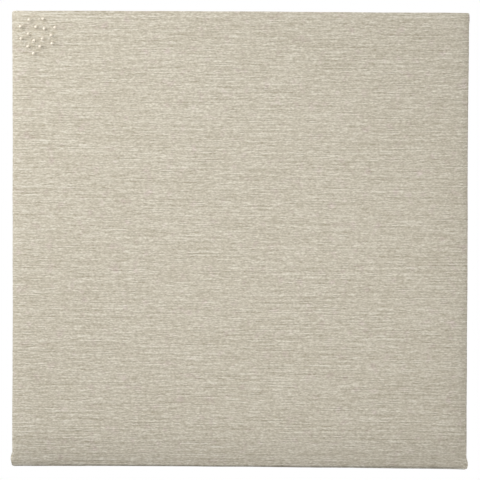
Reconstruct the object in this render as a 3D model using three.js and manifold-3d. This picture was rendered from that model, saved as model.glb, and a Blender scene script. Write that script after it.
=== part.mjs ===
// Square cloth-covered pin board with fifteen ball-headed pins stuck in one corner.
// Lengths are in millimetres: X runs right as the board is seen, Z up, Y towards the wall.
// The origin is the centre of the back panel's rear face.

import * as THREE from "three";
import { mergeVertices, toCreasedNormals } from "three/addons/utils/BufferGeometryUtils.js";
import Module from "manifold-3d";

const wasm = await Module();
wasm.setup();

// Pinning core: one softboard sheet, bevelled along its lower front edge
const coreWidth = 596;
const coreHeight = 596;
const coreThickness = 10;
const coreCornerRadius = 2.5;
const coreBevelHeight = 22;
const coreBevelDepth = 5;

// Padding: a fleece sheet on the core's face, short of its edges and of the bevel
const paddingThickness = 2;
const paddingInset = 7;

// Cloth cover: one sheet drawn round the edges and turned under at the back
const clothThickness = 0.8;
const clothClearance = 0.3;
const hemWidth = 20;
const cornerLift = 1.1;
const mitreRadius = 0.4;
const ringArcSteps = 2;
const sideShares = [0.009, 0.018, 0.034, 0.3, 0.7, 0.966, 0.982, 0.991];

// Folded cloth that stands proud on the left and right edges beside each corner
const foldRiseBottomLeft = 2;
const foldRiseBottomRight = 1.9;
const foldRiseTopRight = 0.9;
const foldRiseTopLeft = 0.3;
const foldPlaceShares = [0, 0.009, 0.018, 0.034, 0.5];
const foldRiseShares = [0.35, 0.8, 1, 0, 0];

// Back frame: four mitred rails glued to the core, with a rebate for the back panel
const railDepth = 8;
const railSetback = 1.5;
const mitreGap = 0.2;
const rebateWidth = 8;

// Back panel: hardboard, flush with the rails
const panelThickness = 3;
const panelClearance = 0.6;

// Keyhole hanger plates, each over a pocket in the top rail
const hangerEndInset = 98;
const keyholeEntryRadius = 4.5;
const keyholeSlotRadius = 2.3;
const keyholeLength = 7.6;
const plateThickness = 1.2;
const plateRim = 1.7;
const plateEndMargin = 6;
const plateEdgeGap = 2;
const plateCornerRadius = 3;
const pocketClearance = 1;
const pocketFloor = 2;
const roundSteps = 8;

// Countersunk screws that hold the plates
const screwSideGap = 11.5;
const screwHeadRadius = 2.8;
const screwShankRadius = 1.3;
const screwConeHeight = 1.5;
const screwTipLength = 2.5;
const screwFloor = 1.6;
const screwRecess = 0.1;
const screwClearance = 0.3;
const driveSlotLength = 3;
const driveSlotWidth = 0.7;
const driveSlotDepth = 0.8;
const screwSides = 16;

// Staples that hold the hem to the rails
const staplesPerSide = 3;
const stapleEdgeGap = 7;
const stapleWidth = 11;
const stapleWire = 0.6;
const stapleWireBreadth = 1.2;
const stapleTipLength = 1;
const stapleFloor = 3.1;
const stapleClearance = 0.3;

// Stick-on bumpers at the lower corners of the back
const bumperEndInset = 70;
const bumperRadius = 5.5;
const bumperHeight = 2;
const bumperEdgeHeight = 1.1;
const bumperSides = 20;
const bumperDomeSteps = 3;

// Pins
const pinHeadRadius = 2;
const pinNeckRadius = 1.15;
const pinNeckLength = 0.9;
const pinStand = 3;
const pinFloor = 4.1;
const needleRadius = 0.45;
const needleInHead = 2.6;
const needlePointLength = 2.6;
const needleFit = 0.05;
const needleHoleClearance = 0.3;
const needleHoleRelief = 0.6;
const needleHoleSides = 6;
const pinSides = 12;
const headArcSteps = 7;

// The cluster of pins: its upper left corner's place on the core, its size, and each pin's place in it
const clusterInset = 9.4;
const clusterDrop = 8.6;
const clusterWidth = 45.4;
const clusterHeight = 45;
const pinPlaceShares = [
  [0.256, 0.027], [0.655, 0], [0, 0.228], [0.45, 0.233], [0.69, 0.281],
  [1, 0.247], [0.223, 0.444], [0.892, 0.476], [0.021, 0.574], [0.394, 0.63],
  [0.641, 0.575], [0.918, 0.713], [0.216, 0.802], [0.567, 0.802], [0.381, 1],
];

// Cutters run this far past the face that they open
const cutOverrun = 1;

// Depths of the layers, from the wall side to the front
const coreBackY = -railDepth;
const coreFrontY = coreBackY - coreThickness;
const paddingFrontY = coreFrontY - paddingThickness;
const clothReach = clothClearance + clothThickness;
const clothOuterY = paddingFrontY - clothReach;
const clothInnerY = paddingFrontY - clothClearance;

// The padding ends where the core's bevel starts
const paddingBottomInset = coreBevelHeight;

// The back from its edge inwards: the hem, a bare strip of rail that holds the plates, and the rebate
const plateHeight = keyholeLength + 2 * (keyholeEntryRadius + plateRim);
const stripInset = hemWidth + plateEdgeGap + plateHeight / 2;
const rebateInset = stripInset + plateHeight / 2 + plateEdgeGap;
const railInnerInset = rebateInset + rebateWidth;
const stapleInset = hemWidth - stapleEdgeGap;

// The pocket behind a keyhole, where a wall screw's head goes in and up
const pocketWidth = 2 * (keyholeEntryRadius + pocketClearance);
const pocketHeight = keyholeLength + pocketWidth;
const pocketDepth = railDepth - pocketFloor;
const screwPlaces = [-1, 1].map((end) => end * (pocketWidth / 2 + screwSideGap));
const plateWidth = pocketWidth + 2 * (screwSideGap + plateEndMargin);

const hangerPlaces = [-1, 1].map((end) => end * (coreWidth / 2 - hangerEndInset));
const bumperPlaces = [-1, 1].map((end) => end * (coreWidth / 2 - bumperEndInset));
const sideNames = ["left", "right"];

const pinPlaces = pinPlaceShares.map(([acrossShare, downShare]) => ({
  x: -coreWidth / 2 + clusterInset + acrossShare * clusterWidth,
  z: coreHeight / 2 - clusterDrop - downShare * clusterHeight,
}));

const materials = {
  cloth: new THREE.MeshStandardMaterial({ color: 0xc6bfaf, roughness: 0.95, metalness: 0 }),
  fleece: new THREE.MeshStandardMaterial({ color: 0xeeece6, roughness: 1, metalness: 0 }),
  softboard: new THREE.MeshStandardMaterial({ color: 0xa98f6b, roughness: 0.95, metalness: 0 }),
  pine: new THREE.MeshStandardMaterial({ color: 0xd9bd8c, roughness: 0.7, metalness: 0 }),
  hardboard: new THREE.MeshStandardMaterial({ color: 0x7d5a3a, roughness: 0.8, metalness: 0 }),
  zincPlate: new THREE.MeshStandardMaterial({ color: 0xb9bcc0, roughness: 0.35, metalness: 1 }),
  staple: new THREE.MeshStandardMaterial({ color: 0xc3c3c0, roughness: 0.3, metalness: 1 }),
  rubber: new THREE.MeshStandardMaterial({ color: 0xe4e4e0, roughness: 0.5, metalness: 0 }),
  pinHead: new THREE.MeshStandardMaterial({ color: 0xf7f4ec, roughness: 0.22, metalness: 0 }),
  needle: new THREE.MeshStandardMaterial({ color: 0xcfd0d2, roughness: 0.25, metalness: 1 }),
};

// A closed geometry as a solid that can be cut
function toSolid(geometry) {
  const bare = geometry.clone();
  bare.deleteAttribute("normal");
  bare.deleteAttribute("uv");
  const merged = mergeVertices(bare);
  const vertProperties = merged.attributes.position.array;
  const triVerts = new Uint32Array(merged.index.array);
  return new wasm.Manifold(new wasm.Mesh({ numProp: 3, vertProperties, triVerts }));
}

// A solid's surface as a geometry
function toGeometry(solid) {
  const mesh = solid.getMesh();
  const geometry = new THREE.BufferGeometry();
  geometry.setAttribute("position", new THREE.BufferAttribute(mesh.vertProperties, 3));
  geometry.setIndex(new THREE.BufferAttribute(mesh.triVerts, 1));
  return toCreasedNormals(geometry, Math.PI / 6);
}

// A geometry with each of the cutters taken out of it
function cut(geometry, cutters) {
  const solid = cutters.reduce((left, cutter) => left.subtract(toSolid(cutter)), toSolid(geometry));
  return toGeometry(solid);
}

function box(x0, x1, y0, y1, z0, z1) {
  const geometry = new THREE.BoxGeometry(x1 - x0, y1 - y0, z1 - z0);
  return geometry.translate((x0 + x1) / 2, (y0 + y1) / 2, (z0 + z1) / 2);
}

function addMesh(parent, name, geometry, material) {
  const mesh = new THREE.Mesh(geometry, material);
  mesh.name = name;
  parent.add(mesh);
  return mesh;
}

// A flat shape drawn in X and Z, as a plate from depth frontY to depth backY
function plateFrom(shape, frontY, backY, curveSegments) {
  const options = { depth: backY - frontY, bevelEnabled: false, curveSegments };
  const geometry = new THREE.ExtrudeGeometry(shape, options);
  return geometry.rotateX(Math.PI / 2).translate(0, backY, 0);
}

function roundedRectangle(left, right, bottom, top, radius) {
  const shape = new THREE.Shape();
  shape.moveTo(left + radius, bottom);
  shape.lineTo(right - radius, bottom);
  shape.absarc(right - radius, bottom + radius, radius, -Math.PI / 2, 0);
  shape.lineTo(right, top - radius);
  shape.absarc(right - radius, top - radius, radius, 0, Math.PI / 2);
  shape.lineTo(left + radius, top);
  shape.absarc(left + radius, top - radius, radius, Math.PI / 2, Math.PI);
  shape.lineTo(left, bottom + radius);
  shape.absarc(left + radius, bottom + radius, radius, Math.PI, 1.5 * Math.PI);
  return shape;
}

// The four edges of the board. Each has its own turned group, in which the edge lies along X at the top.
const sides = [
  { name: "top", turn: 0, along: coreWidth / 2, across: coreHeight / 2 },
  { name: "left", turn: -Math.PI / 2, along: coreHeight / 2, across: coreWidth / 2 },
  { name: "bottom", turn: Math.PI, along: coreWidth / 2, across: coreHeight / 2 },
  { name: "right", turn: Math.PI / 2, along: coreHeight / 2, across: coreWidth / 2 },
].map((side) => {
  const group = new THREE.Group();
  group.rotation.y = side.turn;
  group.updateMatrixWorld(true);
  return { ...side, group };
});

// Places along a side for the middle of each staple, evenly spread
function staplePlacesOf(side) {
  const pitch = (2 * side.along) / staplesPerSide;
  return Array.from({ length: staplesPerSide }, (_, i) => (i + 0.5) * pitch - side.along);
}

// The clearance hole round each needle, open at the front and closed past the needle's point
function needleHoles() {
  const radius = needleRadius + needleHoleClearance;
  const frontY = clothOuterY - cutOverrun;
  const backY = coreBackY - pinFloor + needleHoleRelief;
  return pinPlaces.map(({ x, z }) => {
    const hole = new THREE.CylinderGeometry(radius, radius, backY - frontY, needleHoleSides);
    return hole.translate(x, (frontY + backY) / 2, z);
  });
}

// The hole round each leg of a side's staples, in that side's group
function stapleHolesOf(side) {
  const reach = stapleWireBreadth / 2 + stapleClearance;
  const legWidth = stapleWire + 2 * stapleClearance;
  const legPlace = (stapleWidth - stapleWire) / 2;
  const [bottomY, topY] = [stapleFloor - railDepth - stapleClearance, clothReach + cutOverrun];
  const z = side.across - stapleInset;
  return staplePlacesOf(side).flatMap((x) =>
    [x - legPlace, x + legPlace].map((legX) =>
      box(legX - legWidth / 2, legX + legWidth / 2, bottomY, topY, z - reach, z + reach),
    ),
  );
}

// How far folded cloth stands proud of an edge, by the share of that edge from the fold's corner
function foldRise(share, rise) {
  const i = Math.max(1, foldPlaceShares.findIndex((place) => place >= share));
  const step = (share - foldPlaceShares[i - 1]) / (foldPlaceShares[i] - foldPlaceShares[i - 1]);
  return rise * THREE.MathUtils.lerp(foldRiseShares[i - 1], foldRiseShares[i], step);
}

// Corners of the cover in the order of its rings, each with the fold that stands beside it
const coverCorners = [
  { x: 1, z: 1, fold: foldRiseTopRight },
  { x: -1, z: 1, fold: foldRiseTopLeft },
  { x: -1, z: -1, fold: foldRiseBottomLeft },
  { x: 1, z: -1, fold: foldRiseBottomRight },
];

// How far the cloth has curved back over the bevel on the core's lower edge, at a height
function bevelDrop(z) {
  const share = (coreBevelHeight - coreHeight / 2 - z) / coreBevelHeight;
  return coreBevelDepth * THREE.MathUtils.clamp(share, 0, 1) ** 2;
}

// One closed ring of the cover, counter-clockwise as the board is seen from the front.
// A ring that follows the core's face follows its bevel too.
function coverRing(station) {
  const { inset, bottomInset = inset, radius, liftShare = 0, foldShare = 0 } = station;
  const depthAt = (z) => station.y + (station.isFront ? bevelDrop(z) : 0);
  const lift = liftShare * cornerLift;
  const centres = coverCorners.map((corner) => ({
    x: corner.x * (coreWidth / 2 - inset - radius),
    z: corner.z * (coreHeight / 2 - (corner.z > 0 ? inset : bottomInset) - radius),
  }));
  return coverCorners.flatMap((corner, index) => {
    const nextIndex = (index + 1) % coverCorners.length;
    const [from, to] = [centres[index], centres[nextIndex]];
    const startAngle = (index * Math.PI) / 2;
    const points = [];
    for (let i = 0; i <= ringArcSteps; i += 1) {
      const angle = startAngle + ((i / ringArcSteps) * Math.PI) / 2;
      const foldAtCorner = Math.abs(Math.cos(angle)) * foldRise(0, corner.fold);
      const reach = radius + lift + foldShare * foldAtCorner;
      const z = from.z + Math.sin(angle) * reach;
      points.push([from.x + Math.cos(angle) * reach, depthAt(z), z]);
    }
    const sideAngle = startAngle + Math.PI / 2;
    const isUpright = Math.abs(Math.cos(sideAngle)) > 0.5;
    for (const share of sideShares) {
      const nearFold = foldRise(share, corner.fold);
      const farFold = foldRise(1 - share, coverCorners[nextIndex].fold);
      const fold = isUpright ? (share < 0.5 ? nearFold : farFold) : 0;
      const reach = radius + lift * (2 * share - 1) ** 2 + foldShare * fold;
      const x = THREE.MathUtils.lerp(from.x, to.x, share) + Math.cos(sideAngle) * reach;
      const z = THREE.MathUtils.lerp(from.z, to.z, share) + Math.sin(sideAngle) * reach;
      points.push([x, depthAt(z), z]);
    }
    return points;
  });
}

// The cover's section, from the flat of the front round the edge to the hem's cut edge.
// reach is how far the face lies from what the cloth is drawn over.
function coverSection(reach) {
  const diagonal = reach * Math.SQRT1_2;
  const radius = coreCornerRadius + reach;
  const [flatY, ledgeY] = [paddingFrontY - reach, coreFrontY - reach];
  const front = { radius: coreCornerRadius, isFront: true };
  const edge = { radius, isFront: true };
  return [
    { ...front, inset: paddingInset, bottomInset: paddingBottomInset, y: flatY },
    { ...front, inset: 0, y: ledgeY, liftShare: 0.4 },
    { ...edge, inset: -diagonal, y: coreFrontY - diagonal, liftShare: 0.8, foldShare: 0.5 },
    { ...edge, inset: -reach, y: coreFrontY, liftShare: 1, foldShare: 1 },
    { inset: -reach, y: coreBackY, radius, liftShare: 1, foldShare: 1 },
    { inset: railSetback - reach, y: 0, radius: reach, liftShare: 0.6, foldShare: 0.6 },
    { inset: railSetback - diagonal, y: diagonal, radius: reach, liftShare: 0.3, foldShare: 0.3 },
    { inset: railSetback, y: reach, radius: mitreRadius },
    { inset: hemWidth, y: reach, radius: mitreRadius },
  ];
}

function coverGeometry() {
  const outer = coverSection(clothReach);
  const inner = coverSection(clothClearance).map((station) => ({ ...station, foldShare: 0 }));
  const rings = [...outer, ...inner.reverse()].map(coverRing);
  const count = rings[0].length;
  const points = rings.flat();
  const frontCentre = points.push([0, clothOuterY, 0]) - 1;
  const innerCentre = points.push([0, clothInnerY, 0]) - 1;
  const lastRing = (rings.length - 1) * count;
  const faces = [];
  for (let i = 0; i < count; i += 1) {
    const next = (i + 1) % count;
    faces.push(frontCentre, i, next);
    for (let here = 0; here < lastRing; here += count) {
      const there = here + count;
      faces.push(here + i, there + i, there + next, here + i, there + next, here + next);
    }
    faces.push(innerCentre, lastRing + next, lastRing + i);
  }
  const geometry = new THREE.BufferGeometry();
  geometry.setAttribute("position", new THREE.Float32BufferAttribute(points.flat(), 3));
  geometry.setIndex(faces);
  const stapleHoles = sides.flatMap((side) =>
    stapleHolesOf(side).map((hole) => hole.applyMatrix4(side.group.matrixWorld)),
  );
  return cut(geometry, [...needleHoles(), ...stapleHoles]);
}

function paddingGeometry() {
  const right = coreWidth / 2 - paddingInset;
  const top = coreHeight / 2 - paddingInset;
  const bottom = paddingBottomInset - coreHeight / 2;
  const sheet = roundedRectangle(-right, right, bottom, top, coreCornerRadius);
  return cut(plateFrom(sheet, paddingFrontY, coreFrontY, 2), needleHoles());
}

// The core, with its lower front edge trimmed off along the bevel
function coreGeometry() {
  const [right, top] = [coreWidth / 2, coreHeight / 2];
  const outline = roundedRectangle(-right, right, -top, top, coreCornerRadius);
  const sheet = toSolid(plateFrom(outline, coreFrontY, coreBackY, 3));
  const bevelTop = new THREE.Vector3(0, coreFrontY, coreBevelHeight - coreHeight / 2);
  const inward = new THREE.Vector3(0, coreBevelHeight, coreBevelDepth).normalize();
  const board = sheet.trimByPlane(inward.toArray(), inward.dot(bevelTop));
  return cut(toGeometry(board), needleHoles());
}

// Keyhole outline about the hanger's centre: a round entry with a slot rising from it
function keyholeOutline() {
  const outline = new THREE.Path();
  const [entryZ, slotZ] = [-keyholeLength / 2, keyholeLength / 2];
  const opening = Math.asin(keyholeSlotRadius / keyholeEntryRadius);
  const start = Math.PI / 2 + opening;
  outline.absarc(0, entryZ, keyholeEntryRadius, start, start + 2 * (Math.PI - opening));
  outline.lineTo(keyholeSlotRadius, slotZ);
  outline.absarc(0, slotZ, keyholeSlotRadius, 0, Math.PI);
  outline.closePath();
  return outline;
}

// A plate screw, or with a gap the hole that it sits in, turned about Y
function screwBlank(gap) {
  const headY = plateThickness - screwRecess;
  const headRadius = screwHeadRadius + gap;
  const shankRadius = screwShankRadius + gap;
  const endY = screwFloor - railDepth - gap;
  const profile = [
    new THREE.Vector2(0, endY),
    new THREE.Vector2(shankRadius, endY + screwTipLength),
    new THREE.Vector2(shankRadius, headY - screwConeHeight),
    new THREE.Vector2(headRadius, headY),
  ];
  if (gap > 0) {
    const openY = plateThickness + cutOverrun;
    profile.push(new THREE.Vector2(headRadius, openY), new THREE.Vector2(0, openY));
  } else {
    profile.push(new THREE.Vector2(0, headY));
  }
  return new THREE.LatheGeometry(profile, screwSides);
}

function screwHoles() {
  return screwPlaces.map((x) => screwBlank(screwClearance).translate(x, 0, 0));
}

// A plate screw with its cross recess
function screwGeometry() {
  const headY = plateThickness - screwRecess;
  const [long, wide] = [driveSlotLength / 2, driveSlotWidth / 2];
  const [slotY0, slotY1] = [headY - driveSlotDepth, headY + cutOverrun];
  return cut(screwBlank(0), [
    box(-long, long, slotY0, slotY1, -wide, wide),
    box(-wide, wide, slotY0, slotY1, -long, long),
  ]);
}

function hangerPlateGeometry() {
  const [right, top] = [plateWidth / 2, plateHeight / 2];
  const blank = roundedRectangle(-right, right, -top, top, plateCornerRadius);
  blank.holes.push(keyholeOutline());
  return cut(plateFrom(blank, 0, plateThickness, roundSteps), screwHoles());
}

// What is cut out of the top rail for one hanger, about the hanger's centre
function hangerCutters() {
  const [right, top] = [pocketWidth / 2, pocketHeight / 2];
  return [box(-right, right, -pocketDepth, cutOverrun, -top, top), ...screwHoles()];
}

// One rail in its side's group: an L section whose ends are mitred by their distance from the outer edge
function railGeometry(side) {
  const section = new THREE.Shape();
  section.moveTo(railSetback, -railDepth);
  section.lineTo(railInnerInset, -railDepth);
  section.lineTo(railInnerInset, -panelThickness);
  section.lineTo(rebateInset, -panelThickness);
  section.lineTo(rebateInset, 0);
  section.lineTo(railSetback, 0);
  const rail = new THREE.ExtrudeGeometry(section, { depth: 1, bevelEnabled: false });
  const place = rail.attributes.position;
  for (let i = 0; i < place.count; i += 1) {
    const inset = place.getX(i);
    const end = 2 * place.getZ(i) - 1;
    place.setXYZ(i, end * (side.along - inset - mitreGap), place.getY(i), side.across - inset);
  }
  const cutters = stapleHolesOf(side);
  if (side.name === "top") {
    const z = side.across - stripInset;
    hangerPlaces.forEach((x) => {
      cutters.push(...hangerCutters().map((cutter) => cutter.translate(x, 0, z)));
    });
  }
  return cut(rail, cutters);
}

function panelGeometry() {
  const right = coreWidth / 2 - rebateInset - panelClearance;
  const top = coreHeight / 2 - rebateInset - panelClearance;
  return box(-right, right, -panelThickness, 0, -top, top);
}

// A wire staple about the middle of its crown's underside, with its legs pointing into the rail
function stapleGeometry() {
  const outer = stapleWidth / 2;
  const inner = outer - stapleWire;
  const legY = stapleFloor - railDepth - clothReach;
  const outline = new THREE.Shape();
  outline.moveTo(-outer, stapleWire);
  outline.lineTo(-outer, legY);
  outline.lineTo(-inner, legY + stapleTipLength);
  outline.lineTo(-inner, 0);
  outline.lineTo(inner, 0);
  outline.lineTo(inner, legY + stapleTipLength);
  outline.lineTo(outer, legY);
  outline.lineTo(outer, stapleWire);
  const wire = new THREE.ExtrudeGeometry(outline, { depth: stapleWireBreadth, bevelEnabled: false });
  return wire.translate(0, 0, -stapleWireBreadth / 2);
}

function bumperGeometry() {
  const profile = [new THREE.Vector2(0, 0), new THREE.Vector2(bumperRadius, 0)];
  for (let i = 0; i <= bumperDomeSteps; i += 1) {
    const angle = ((i / bumperDomeSteps) * Math.PI) / 2;
    const radius = i < bumperDomeSteps ? bumperRadius * Math.cos(angle) : 0;
    const y = bumperEdgeHeight + (bumperHeight - bumperEdgeHeight) * Math.sin(angle);
    profile.push(new THREE.Vector2(radius, y));
  }
  return new THREE.LatheGeometry(profile, bumperSides);
}

// A pin's own depths, counted from the cloth's face with the head towards -Y
const neckY = -pinStand;
const needleTopY = neckY - needleInHead;
const needlePointY = coreBackY - pinFloor - clothOuterY;

// A ball with a short neck, bored for the needle
function pinHeadGeometry() {
  const bore = needleRadius + needleFit;
  const neckAngle = Math.asin(pinNeckRadius / pinHeadRadius);
  const ballY = neckY - pinNeckLength - pinHeadRadius * Math.cos(neckAngle);
  const profile = [];
  for (let i = 0; i <= headArcSteps; i += 1) {
    const angle = THREE.MathUtils.lerp(Math.PI, neckAngle, i / headArcSteps);
    const radius = i > 0 ? pinHeadRadius * Math.sin(angle) : 0;
    profile.push(new THREE.Vector2(radius, ballY + pinHeadRadius * Math.cos(angle)));
  }
  profile.push(
    new THREE.Vector2(pinNeckRadius, neckY),
    new THREE.Vector2(bore, neckY),
    new THREE.Vector2(bore, needleTopY),
    new THREE.Vector2(0, needleTopY),
  );
  return new THREE.LatheGeometry(profile, pinSides);
}

function needleGeometry() {
  const profile = [
    new THREE.Vector2(0, needleTopY),
    new THREE.Vector2(needleRadius, needleTopY),
    new THREE.Vector2(needleRadius, needlePointY - needlePointLength),
    new THREE.Vector2(0, needlePointY),
  ];
  return new THREE.LatheGeometry(profile, pinSides);
}

// Assembly
const board = new THREE.Group();
board.name = "pin_board";

addMesh(board, "fabric_cover", coverGeometry(), materials.cloth);
addMesh(board, "padding_sheet", paddingGeometry(), materials.fleece);
addMesh(board, "core_board", coreGeometry(), materials.softboard);
addMesh(board, "back_panel", panelGeometry(), materials.hardboard);

sides.forEach((side) => {
  board.add(side.group);
  addMesh(side.group, `frame_rail_${side.name}`, railGeometry(side), materials.pine);
  staplePlacesOf(side).forEach((x, i) => {
    const staple = addMesh(side.group, `staple_${side.name}_${i + 1}`, stapleGeometry(), materials.staple);
    staple.position.set(x, clothReach, side.across - stapleInset);
  });
});

hangerPlaces.forEach((x, i) => {
  const hanger = new THREE.Group();
  hanger.position.set(x, 0, coreHeight / 2 - stripInset);
  board.add(hanger);
  addMesh(hanger, `hanger_plate_${sideNames[i]}`, hangerPlateGeometry(), materials.zincPlate);
  screwPlaces.forEach((screwX, n) => {
    const name = `hanger_screw_${sideNames[i]}_${n + 1}`;
    addMesh(hanger, name, screwGeometry(), materials.zincPlate).position.x = screwX;
  });
});

bumperPlaces.forEach((x, i) => {
  const bumper = addMesh(board, `wall_bumper_${sideNames[i]}`, bumperGeometry(), materials.rubber);
  bumper.position.set(x, 0, stripInset - coreHeight / 2);
});

pinPlaces.forEach(({ x, z }, i) => {
  const name = `pin_${String(i + 1).padStart(2, "0")}`;
  const pin = new THREE.Group();
  pin.position.set(x, clothOuterY, z);
  board.add(pin);
  addMesh(pin, `${name}_head`, pinHeadGeometry(), materials.pinHead);
  addMesh(pin, `${name}_needle`, needleGeometry(), materials.needle);
});

export default board;
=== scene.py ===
# Looks of a square cloth-covered pin board with fifteen ball-headed pins in one corner.
# Lengths are in metres and angles in degrees. X runs right as the board is seen, Z up,
# and Y towards the wall.

import math
from collections import namedtuple
from types import SimpleNamespace

import bmesh
import bpy
import numpy as np
from mathutils import Matrix, Vector


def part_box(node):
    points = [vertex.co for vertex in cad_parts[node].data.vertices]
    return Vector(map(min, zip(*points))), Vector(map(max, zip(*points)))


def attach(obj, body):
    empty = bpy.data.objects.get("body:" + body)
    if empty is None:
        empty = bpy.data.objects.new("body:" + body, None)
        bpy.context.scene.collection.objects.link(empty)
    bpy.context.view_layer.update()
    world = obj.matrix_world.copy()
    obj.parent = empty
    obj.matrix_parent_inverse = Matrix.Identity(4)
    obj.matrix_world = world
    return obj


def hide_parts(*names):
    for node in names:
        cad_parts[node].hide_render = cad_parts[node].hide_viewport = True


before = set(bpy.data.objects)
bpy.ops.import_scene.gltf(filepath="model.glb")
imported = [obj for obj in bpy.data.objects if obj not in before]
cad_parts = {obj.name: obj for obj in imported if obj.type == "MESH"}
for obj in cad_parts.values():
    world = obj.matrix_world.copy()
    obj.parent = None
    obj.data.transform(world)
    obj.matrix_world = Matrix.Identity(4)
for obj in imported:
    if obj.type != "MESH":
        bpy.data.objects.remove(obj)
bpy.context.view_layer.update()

MM = 0.001
BOARD = "board"
SIDES = ("top", "left", "bottom", "right")
HANDS = ("left", "right")

# Sizes read from the frame
_, core_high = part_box("core_board")
padding_low, padding_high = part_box("padding_sheet")
half_width = core_high.x
half_height = core_high.z

# Cloth sheet. It stands off the core's edges by cloth_stand, measured to its outer face.
# Towards each corner it gathers into a mitre.
cloth_thickness = 0.8 * MM
cloth_clearance = 0.3 * MM
cloth_reach = cloth_clearance + cloth_thickness
cloth_stand = 1.5 * MM
rail_setback = 1.5 * MM
hem_width = 20 * MM
hem_edge = 0.5 * MM
hem_edge_angle = 60
front_y = padding_low.y - cloth_reach
cloth_corner = 0.7 * MM
mitre_radius = 0.4 * MM
gather_length = 80 * MM

# Rolled edges of the front: each one's width and depth, and how square its curve is
Roll = namedtuple("Roll", "width depth power")
rolls = {
    "top": Roll(8 * MM, 5 * MM, 4),
    "left": Roll(16 * MM, 5.5 * MM, 4),
    "bottom": Roll(60 * MM, 9 * MM, 2),
    "right": Roll(44 * MM, 4 * MM, 3),
}

# Steps of the sheet's mesh. Its left and right sides have a column for each thread near the corners
# and for every third one between them.
thread_pitch = 1.2 * MM
column_pitch = 6 * MM
column_end_shares = (0.35, 0.75, 1.2, 1.75, 2.4)
sparse_step = 3
dense_length = 27 * MM
corner_steps = 8
roll_steps = 12
roll_pace = 3.3
side_steps = 9
turn_steps = 5
hem_steps = 8
hem_edge_steps = 3
inner_roll_shares = (1, 0.9, 0.6, 0)

# A side is straight over this share of its depth, then drawn in to the rails
straight_share = 0.3
draw_power = 1.6

# Share of a side's bow and of its fold that is left at the back, and of the hem's wander where it starts
bow_end_share = 0.2
fold_end_share = 0.65
hem_start_share = 0.1

# How far each side stands out from its straight line, at shares of its half length from the middle
bow_shares = (-1, -0.5, 0, 0.5, 1)
bows = {
    "top": (1.2 * MM, 1.3 * MM, 1.2 * MM, 0.6 * MM, 0.1 * MM),
    "left": (0.6 * MM, 0, 0.1 * MM, 0.3 * MM, 1 * MM),
    "bottom": (1 * MM, 0.2 * MM, 0, 0.4 * MM, 1.2 * MM),
    "right": (0.5 * MM, 0.2 * MM, -0.3 * MM, -1 * MM, -0.5 * MM),
}

# Cloth folded over beside each corner, on the left and right sides: how far it stands proud,
# and the middle and half length of the swelling, counted from the corner.
# Its slanted edge lies fold_slant as deep as it is far from the corner, and is fold_lip wide.
Fold = namedtuple("Fold", "rise middle reach")
folds = {
    (-1, -1): Fold(2.4 * MM, 9 * MM, 12 * MM),
    (1, -1): Fold(2.2 * MM, 5 * MM, 11 * MM),
    (1, 1): Fold(0.9 * MM, 8 * MM, 12 * MM),
    (-1, 1): Fold(0.3 * MM, 8 * MM, 12 * MM),
}
fold_slant = 0.6
fold_lip = 2 * MM

# Hem on the back: it rises between the staples, and is doubled beside the corners
hem_lift = 0.3 * MM
hem_wander = 0.5 * MM
pleat_rise = 0.6 * MM
pleat_length = 26 * MM
pleat_lip = 1.5 * MM

# Weave. Each part of a thread's swelling has its length, weight and finer octaves.
# The shortest part is too small to shade the thread below. The relief adds shares of the warp
# and the swelling to the weft.
swelling_parts = ((3.3 * MM, 1.32, 1), (12 * MM, 0.78, 0), (80 * MM, 0.68, 0))
swelling_middle = 0.0231
thread_stride = 7.31
warp_pitch = 0.9 * MM
sway_reach = 1 * MM
shading_share = 0.42
warp_relief_share = 0.35
swelling_relief_share = 1.6

# Slubs of the weft threads: parts with a length and weight each, on a grid that covers the sheet.
# A place stays short of the grid's end by grid_end, so that it has a next thread and step.
weave_seed = 11
weave_half = 360 * MM
slub_step = 2 * MM
grid_end = 1.001
slub_parts = ((7 * MM, 0.8), (30 * MM, 0.5))
slub_relief = 0.08 * MM
slub_limit = 2.5
slub_lightening = 0.03

# Faint waves: each one's pace in radians a metre, its bend, the bend's own pace, and its start.
# The hem's wander has its own pace, and its bend's, along X and along Z.
cloth_waves = ((31, 2, 17, 0), (43, 1.5, 23, 3))
padding_waves = ((83, 2, 61, 0), (71, 0, 0, 0))
hem_paces = ((53, 61), (19, 23))
waves_height = 0.15 * MM

# Share of the cloth's map that its inner face takes, and the map's size over the sheet's
inner_map_share = 0.014
map_margin = 1.002

# Padding: its edges thin out to a share of its thickness
padding_steps = 60
padding_taper = 24 * MM
padding_edge_share = 0.25
padding_lumps = 0.06 * MM

# Relief of each material, and how dark the duller patches of metal are
cloth_relief = 0.35 * MM
fleece_relief = 0.3 * MM
softboard_relief = 0.4 * MM
pine_relief = 0.12 * MM
hardboard_relief = 0.08 * MM
metal_relief = 0.02 * MM
rubber_relief = 0.02 * MM
plastic_relief = 0.01 * MM
metal_dull_share = 0.82

# Pins: the neck's and the flare's width and the waist's height are shares of the ball's radius,
# and the needle's taper has shares of its radius and of its point
pin_count = 15
pin_sides = 40
ball_end = 146
ball_step = 6
neck_share = 0.5
flare_share = 0.12
flare_shares = (0, 0.3, 1, 0.8)
waist_share = 0.18
needle_sides = 20
needle_point = 2.6 * MM
needle_taper_shares = (0.55, 0.4)
needle_tip_radius = 0.03 * MM
needle_tip_length = 0.02 * MM

# Staples
staples_per_side = 9
frame_staples = 3
staple_inset = 13 * MM
staple_wire = 0.6 * MM
staple_bend = 0.9 * MM
staple_bend_steps = 5
staple_dip = 0.05 * MM
staple_edge = 0.15 * MM
staple_spin = 4
staple_shift = 1 * MM

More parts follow.
